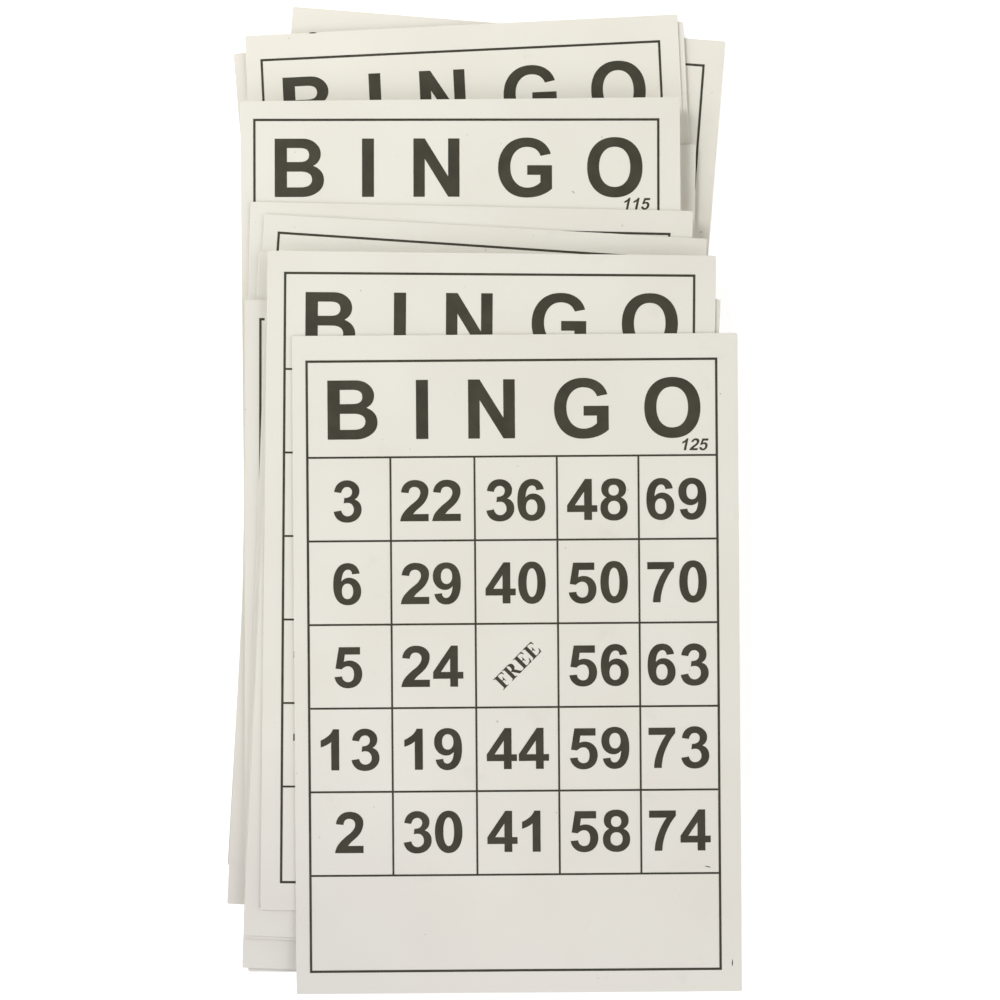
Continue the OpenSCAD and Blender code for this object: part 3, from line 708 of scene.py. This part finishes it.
def makePrintTree():
    tree, given, made = newTree("cardPrint", {
        "Geometry": "Geometry", "Letters": "Collection", "Lines": "Object", "Thickness": "Float",
        "Turn": "Float", "Place": "Vector", "Wave Height": "Float", "Wave Length": "Float",
        "Card Seed": "Float", "Ink": "Material"})

    def named(name, kind):
        read = addNode(tree, "GeometryNodeInputNamedAttribute", {"Name": name}, data_type=kind)
        return read.outputs[0]

    letters = addNode(tree, "GeometryNodeCollectionInfo", {
        "Collection": given["Letters"], "Separate Children": True, "Reset Children": True})
    spin = addNode(tree, "ShaderNodeCombineXYZ", {"Z": named("spin", "FLOAT")}).outputs[0]
    turned = addNode(tree, "FunctionNodeEulerToRotation", {0: spin}).outputs[0]
    size = named("height", "FLOAT")
    placed = addNode(tree, "GeometryNodeInstanceOnPoints", {
        "Points": given["Geometry"], "Instance": letters.outputs[0], "Pick Instance": True,
        "Instance Index": named("glyph", "INT"), "Rotation": turned,
        "Scale": addNode(tree, "ShaderNodeCombineXYZ", {"X": size, "Y": size, "Z": size}).outputs[0]})
    real = addNode(tree, "GeometryNodeRealizeInstances", {0: placed.outputs[0]}).outputs[0]
    place = addNode(tree, "GeometryNodeInputPosition").outputs[0]
    rise = maths(tree, "SUBTRACT", addNode(tree, "ShaderNodeSeparateXYZ", {0: place}).outputs["Y"],
                 named("footLine", "FLOAT"))
    lean = addNode(tree, "ShaderNodeCombineXYZ",
                   {"X": maths(tree, "MULTIPLY", rise, named("lean", "FLOAT"))}).outputs[0]
    leaning = addNode(tree, "GeometryNodeSetPosition", {"Geometry": real, "Offset": lean}).outputs[0]
    lines = addNode(tree, "GeometryNodeObjectInfo", {"Object": given["Lines"]}).outputs["Geometry"]
    joined = addNode(tree, "GeometryNodeJoinGeometry")
    tree.links.new(leaning, joined.inputs[0])
    tree.links.new(lines, joined.inputs[0])
    solid, side = addThickness(tree, joined.outputs[0], given["Thickness"])
    inked = addNode(tree, "GeometryNodeSetMaterial", {
        "Geometry": addPlace(tree, given, solid), "Material": given["Ink"]}).outputs[0]
    tree.links.new(inked, made)
    return tree


sheetTree, printTree = makeSheetTree(), makePrintTree()
ruledLines = makeRuledLines()
for i, (card, mark) in enumerate(zip(cards, prints)):
    label = f"{i + 1:02d}"
    shared = {"Wave Height": lie["waveHeight"] * mm, "Wave Length": lie["waveLength"] * mm,
              "Card Seed": seedStep * i}
    sheet = runTree(f"sheet_{label}", sheetTree, shared | {
        "Turn": card["turn"], "Card Width": card["width"], "Card Length": card["length"],
        "Thickness": card["face"] - card["foot"], "Corner Radius": lie["cornerRadius"] * mm,
        "Corner Steps": float(lie["cornerSteps"]),
        "Cells Across": 2 * (round(card["width"] / mm / lie["cell"] / 2) + lie["cornerSteps"]),
        "Cells Along": 2 * (round(card["length"] / mm / lie["cell"] / 2) + lie["cornerSteps"]),
        "Place": (*card["middle"], card["foot"]), "Face": stockMaterial, "Rim": rimMaterial},
        rim=lie["rim"])
    ink = runTree(f"ink_{label}", printTree, shared | {
        "Letters": glyphCollection, "Lines": ruledLines, "Thickness": mark["thickness"],
        "Turn": mark["turn"], "Place": (*mark["corner"], card["face"]), "Ink": inkMaterial},
        base=makeLetterPoints(i))
    for piece, node, slot in ((sheet, "card_", "card_stock"), (ink, "print_", "printing_ink")):
        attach(piece, f"bingo_card_{label}")
        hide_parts(node + label)
for glyph in list(glyphCollection.objects):
    bpy.data.objects.remove(glyph)
bpy.data.objects.remove(ruledLines)
print("cards and print made")

# The camera looks straight down. Its height above the top card and its place beside the top
# card's middle follow from how the pile's edges and print lie in the photograph.
cameraLook = {"height": 230.0, "beside": (-3.866, 37.215), "lens": 36.39, "clipStart": 10.0}
camera = bpy.data.objects.new("camera", bpy.data.cameras.new("camera"))
camera.data.lens = cameraLook["lens"]
camera.data.clip_start = cameraLook["clipStart"] * mm
camera.location = (*(topCard["middle"] + Vector(cameraLook["beside"]) * mm),
                   topCard["face"] + cameraLook["height"] * mm)
scene.collection.objects.link(camera)
scene.camera = camera

# A white table that keeps a soft shadow, and soft light from all round. The sky below the
# given height is a ring, and each of its four sides has a strength of its own. One soft lamp
# stands to the upper left, and a faint cool one at the foot.
studio = {
    "tableSize": 3.0, "tableDrop": 0.00001, "tableColour": (0.86, 0.86, 0.86, 1), "tableGlow": 0.6,
    "overhead": 0.05, "ringTop": 0.5, "ringBlend": 0.3,
    "ring": {(-1, 0): 2.4, (0, 1): 0.15, (1, 0): 2.5, (0, -1): 1.05},  # left, head, right, foot
    "lamps": [
        {"place": (-0.48, 0.36, 0.58), "size": 0.34, "power": 2.8, "colour": (1, 1, 1)},
        {"place": (-0.03, -0.24, 0.08), "size": 0.12, "power": 0.024, "colour": (0.3, 0.12, 1)},
    ],
}


def makeTable():
    bpy.ops.mesh.primitive_plane_add(size=studio["tableSize"], location=(0, 0, -studio["tableDrop"]))
    table = bpy.context.object
    table.name = "table"
    material = bpy.data.materials.new("tableTop")
    material.use_nodes = True
    tree = material.node_tree
    tree.nodes.clear()
    lit = addNode(tree, "ShaderNodeBsdfDiffuse", {"Color": studio["tableColour"]}).outputs[0]
    seen = addNode(tree, "ShaderNodeLightPath")
    shown = maths(tree, "MAXIMUM", seen.outputs["Is Camera Ray"], seen.outputs["Is Glossy Ray"])
    glow = addNode(tree, "ShaderNodeEmission", {
        "Color": (1, 1, 1, 1),
        "Strength": maths(tree, "MULTIPLY", shown, studio["tableGlow"])}).outputs[0]
    both = addNode(tree, "ShaderNodeAddShader", {0: lit, 1: glow}).outputs[0]
    addNode(tree, "ShaderNodeOutputMaterial", {"Surface": both})
    table.data.materials.append(material)


def makeWorld():
    world = bpy.data.worlds.new("studio")
    world.use_nodes = True
    tree = world.node_tree
    tree.nodes.clear()
    seen = addNode(tree, "ShaderNodeLightPath")
    shown = maths(tree, "MAXIMUM", seen.outputs["Is Camera Ray"], seen.outputs["Is Glossy Ray"])
    way = addNode(tree, "ShaderNodeTexCoord").outputs["Generated"]
    axes = addNode(tree, "ShaderNodeSeparateXYZ", {0: way}).outputs
    level = addNode(tree, "ShaderNodeCombineXYZ", {"X": axes["X"], "Y": axes["Y"]}).outputs[0]
    level = addNode(tree, "ShaderNodeVectorMath", {0: level}, operation="NORMALIZE").outputs[0]
    ring = 0.0
    for side, strength in studio["ring"].items():
        facing = addNode(tree, "ShaderNodeVectorMath", {0: level, 1: (*side, 0)},
                         operation="DOT_PRODUCT")
        facing = maths(tree, "MAXIMUM", facing.outputs["Value"], 0.0)
        ring = maths(tree, "MULTIPLY_ADD", maths(tree, "MULTIPLY", facing, facing), strength, ring)
    blend = stretched(tree, axes["Z"], studio["ringTop"], studio["ringTop"] + studio["ringBlend"])
    sky = addNode(tree, "ShaderNodeMix", {0: blend, 2: ring, 3: studio["overhead"]}).outputs[0]
    strength = addNode(tree, "ShaderNodeMix", {0: shown, 2: sky, 3: 1.0}).outputs[0]
    sky = addNode(tree, "ShaderNodeBackground", {"Color": (1, 1, 1, 1), "Strength": strength})
    addNode(tree, "ShaderNodeOutputWorld", {"Surface": sky.outputs[0]})
    scene.world = world


makeTable()
makeWorld()
for i, lamp in enumerate(studio["lamps"]):
    light = bpy.data.lights.new(f"softLamp{i}", "AREA")
    light.shape = "DISK"
    light.size = lamp["size"]
    light.energy = lamp["power"]
    light.color = lamp["colour"]
    holder = bpy.data.objects.new(light.name, light)
    holder.location = lamp["place"]
    holder.rotation_euler = (-Vector(lamp["place"])).to_track_quat("-Z", "Y").to_euler()
    holder.visible_camera = False
    scene.collection.objects.link(holder)
scene.view_settings.view_transform = "Standard"
print("studio ready")
